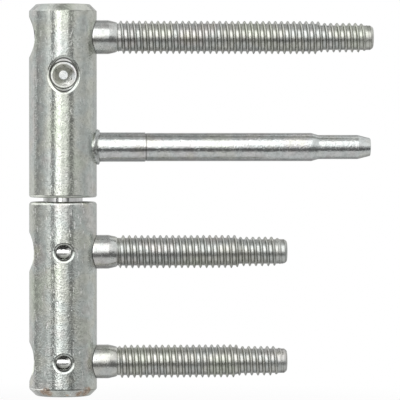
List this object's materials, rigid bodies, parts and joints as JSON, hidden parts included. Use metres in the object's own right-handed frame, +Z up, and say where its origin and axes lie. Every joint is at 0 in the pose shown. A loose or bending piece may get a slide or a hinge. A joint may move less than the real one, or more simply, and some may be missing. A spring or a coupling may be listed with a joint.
{
  "type": "screw-in barrel hinge",
  "caption": "Two-barrel lift-off hinge with screw-in pins for timber doors: the leaf barrel turns on a spindle in the frame barrel, and its threaded pins turn by hex key.",
  "frame": {"origin": "on the hinge axis, in the middle of the gap between the two barrels", "axes": "+Z up the hinge axis towards the leaf half, +X along the pins away from the barrels, -Y towards the front, where the lock screw is"},
  "size_m": [0.1021, 0.02, 0.1156],
  "materials": {
    "barrel_zinc": "zinc plated, mottled satin",
    "pin_zinc": "zinc plated, satin, with rolled threads",
    "support_zinc": "zinc plated, smooth satin",
    "screw_zinc": "zinc plated, bright",
    "bush_steel": "turned, satin",
    "spindle_steel": "ground, greased"
  },
  "bodies": {
    "frame": {"frame_barrel": "barrel_zinc", "spindle": "spindle_steel"},
    "leaf": {"leaf_barrel": "barrel_zinc", "bearing_bush": "bush_steel", "support_pin": "support_zinc"},
    "leaf_pin": {"leaf_pin": "pin_zinc"},
    "frame_pin_upper": {"frame_pin_upper": "pin_zinc"},
    "frame_pin_lower": {"frame_pin_lower": "pin_zinc"},
    "lock_screw": {"lock_screw": "screw_zinc"}
  },
  "joints": [
    {"name": "leaf_swing", "type": "hinge", "parent": "frame", "child": "leaf", "pos_m": [0, 0, 0], "axis": [0, 0, 1], "continuous": true},
    {"name": "leaf_pin_turn", "type": "hinge", "parent": "leaf", "child": "leaf_pin", "pos_m": [0, 0, 0.048], "axis": [1, 0, 0], "continuous": true},
    {"name": "frame_pin_upper_turn", "type": "hinge", "parent": "frame", "child": "frame_pin_upper", "pos_m": [0, 0, -0.0155], "axis": [1, 0, 0], "continuous": true},
    {"name": "frame_pin_lower_turn", "type": "hinge", "parent": "frame", "child": "frame_pin_lower", "pos_m": [0, 0, -0.048], "axis": [1, 0, 0], "continuous": true},
    {"name": "lock_screw_travel", "type": "slide", "parent": "leaf", "child": "lock_screw", "axis": [0, -1, 0], "range_m": [0, 0.0025]}
  ]
}
